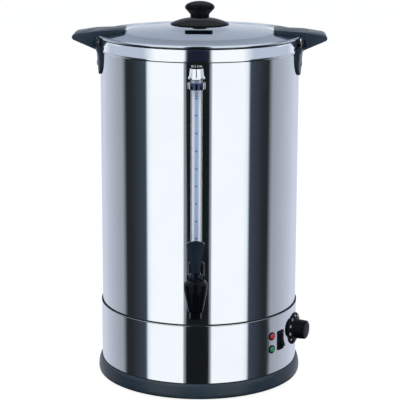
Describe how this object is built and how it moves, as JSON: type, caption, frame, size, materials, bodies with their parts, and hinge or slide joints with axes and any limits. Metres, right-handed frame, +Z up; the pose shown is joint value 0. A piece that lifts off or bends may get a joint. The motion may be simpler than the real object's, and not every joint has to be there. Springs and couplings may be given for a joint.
{
  "type": "hot water urn",
  "caption": "Stainless hot water urn with twist-lock lid, pull-lever tap, glass level gauge, rocker switch, pilot lamps and thermostat dial",
  "frame": {"origin": "point on the floor under the body's vertical axis, at the centre of the circle of feet", "axes": "+Z up, -Y towards the front where the tap is, +X to the right seen from the front"},
  "size_m": [0.382, 0.37, 0.5775],
  "materials": {
    "stainless_body": "polished stainless sheet",
    "stainless_band": "polished stainless band",
    "stainless_housing": "polished stainless sheet",
    "lid_steel": "satin stainless sheet",
    "hidden_steel": "zinc-plated or stainless hardware",
    "base_plastic": "satin dark moulding",
    "rubber": "soft black rubber",
    "silicone": "pale silicone",
    "aluminium_plate": "cast aluminium",
    "heater_sheath": "heat-tinted steel sheath",
    "ceramic": "ceramic and phenolic body",
    "reset_red": "red button",
    "brass": "plated thermostat case",
    "copper": "copper capillary and bulb",
    "black_gloss": "glossy black moulding",
    "handle_black": "semi-gloss black moulding",
    "tap_black": "glossy black moulding",
    "red_glow": "red lens",
    "green_glow": "green lens",
    "block_white": "white nylon",
    "gland_black": "black nylon",
    "wire_insulation": "insulated leads",
    "glass": "clear glass tube",
    "chrome": "polished chrome"
  },
  "bodies": {
    "root": {"vessel": "stainless_body", "rim_band": "stainless_band", "housing": "stainless_housing", "support_ring": "hidden_steel", "base_ring": "base_plastic", "base_plate": "hidden_steel", "rubber_feet": "rubber", "base_screws": "hidden_steel", "tie_rod": "hidden_steel", "tie_nut": "hidden_steel", "heater_plate": "aluminium_plate", "heater_tube": "heater_sheath", "cutout_body": "ceramic", "thermostat_body": "brass", "capillary": "copper", "sensor_bulb": "copper", "dial_collar": "black_gloss", "switch_body": "black_gloss", "lamp_bezels": "black_gloss", "red_lens": "red_glow", "green_lens": "green_glow", "terminal_block": "block_white", "cable_gland": "gland_black", "wiring": "wire_insulation", "tap_body": "tap_black", "tap_bonnet": "tap_black", "lever_pin": "hidden_steel", "tap_spring": "hidden_steel", "tap_washers": "hidden_steel", "tap_nut": "block_white", "gauge_nut": "tap_black", "gauge_tube": "glass", "gauge_seals": "rubber", "gauge_bracket": "chrome", "bracket_nut": "hidden_steel", "gauge_cap": "chrome", "left_handle": "handle_black", "right_handle": "handle_black", "handle_screws": "hidden_steel", "handle_nuts": "hidden_steel"},
    "seal": {"lid_seal": "silicone"},
    "lid": {"lid_pan": "lid_steel", "lid_ring": "lid_steel", "left_ear": "handle_black", "right_ear": "handle_black", "ear_screws": "hidden_steel", "lid_knob": "black_gloss", "knob_saucer": "black_gloss", "knob_screw": "hidden_steel", "steam_vent": "black_gloss"},
    "lever": {"tap_lever": "tap_black"},
    "stem": {"tap_stem": "hidden_steel", "seat_cup": "silicone"},
    "rocker": {"switch_rocker": "black_gloss"},
    "dial": {"dial_knob": "black_gloss", "thermostat_shaft": "hidden_steel"},
    "reset": {"reset_button": "reset_red"}
  },
  "joints": [
    {"name": "lid_lift", "type": "slide", "parent": "root", "child": "seal", "axis": [0, 0, 1], "range_m": [0, 0.15]},
    {"name": "lid_twist", "type": "hinge", "parent": "seal", "child": "lid", "pos_m": [0, 0, 0.53], "axis": [0, 0, 1], "range_deg": [0, 30]},
    {"name": "tap_pull", "type": "hinge", "parent": "root", "child": "lever", "pos_m": [0, -0.196, 0.203], "axis": [1, 0, 0], "range_deg": [0, 55], "stiffness_Nm_per_rad": 0.12},
    {"name": "stem_lift", "type": "slide", "parent": "root", "child": "stem", "axis": [0, 0, 1], "range_m": [0, 0.004], "deforming": ["tap_spring"]},
    {"name": "switch_rock", "type": "hinge", "parent": "root", "child": "rocker", "pos_m": [0.12505, -0.08659, 0.075], "axis": [0.5693, 0.8221, 0], "range_deg": [0, 18]},
    {"name": "dial_turn", "type": "hinge", "parent": "root", "child": "dial", "pos_m": [0.13893, -0.06041, 0.0863], "axis": [0.9171, -0.3987, 0], "range_deg": [-270, 0]},
    {"name": "reset_press", "type": "slide", "parent": "root", "child": "reset", "axis": [0, 0, 1], "range_m": [0, 0.002], "stiffness_N_per_m": 150, "springref_m": -0.002}
  ],
  "couplings": [
    {"joint": "stem_lift", "follows": "tap_pull", "m_per_rad": 0.004166}
  ]
}
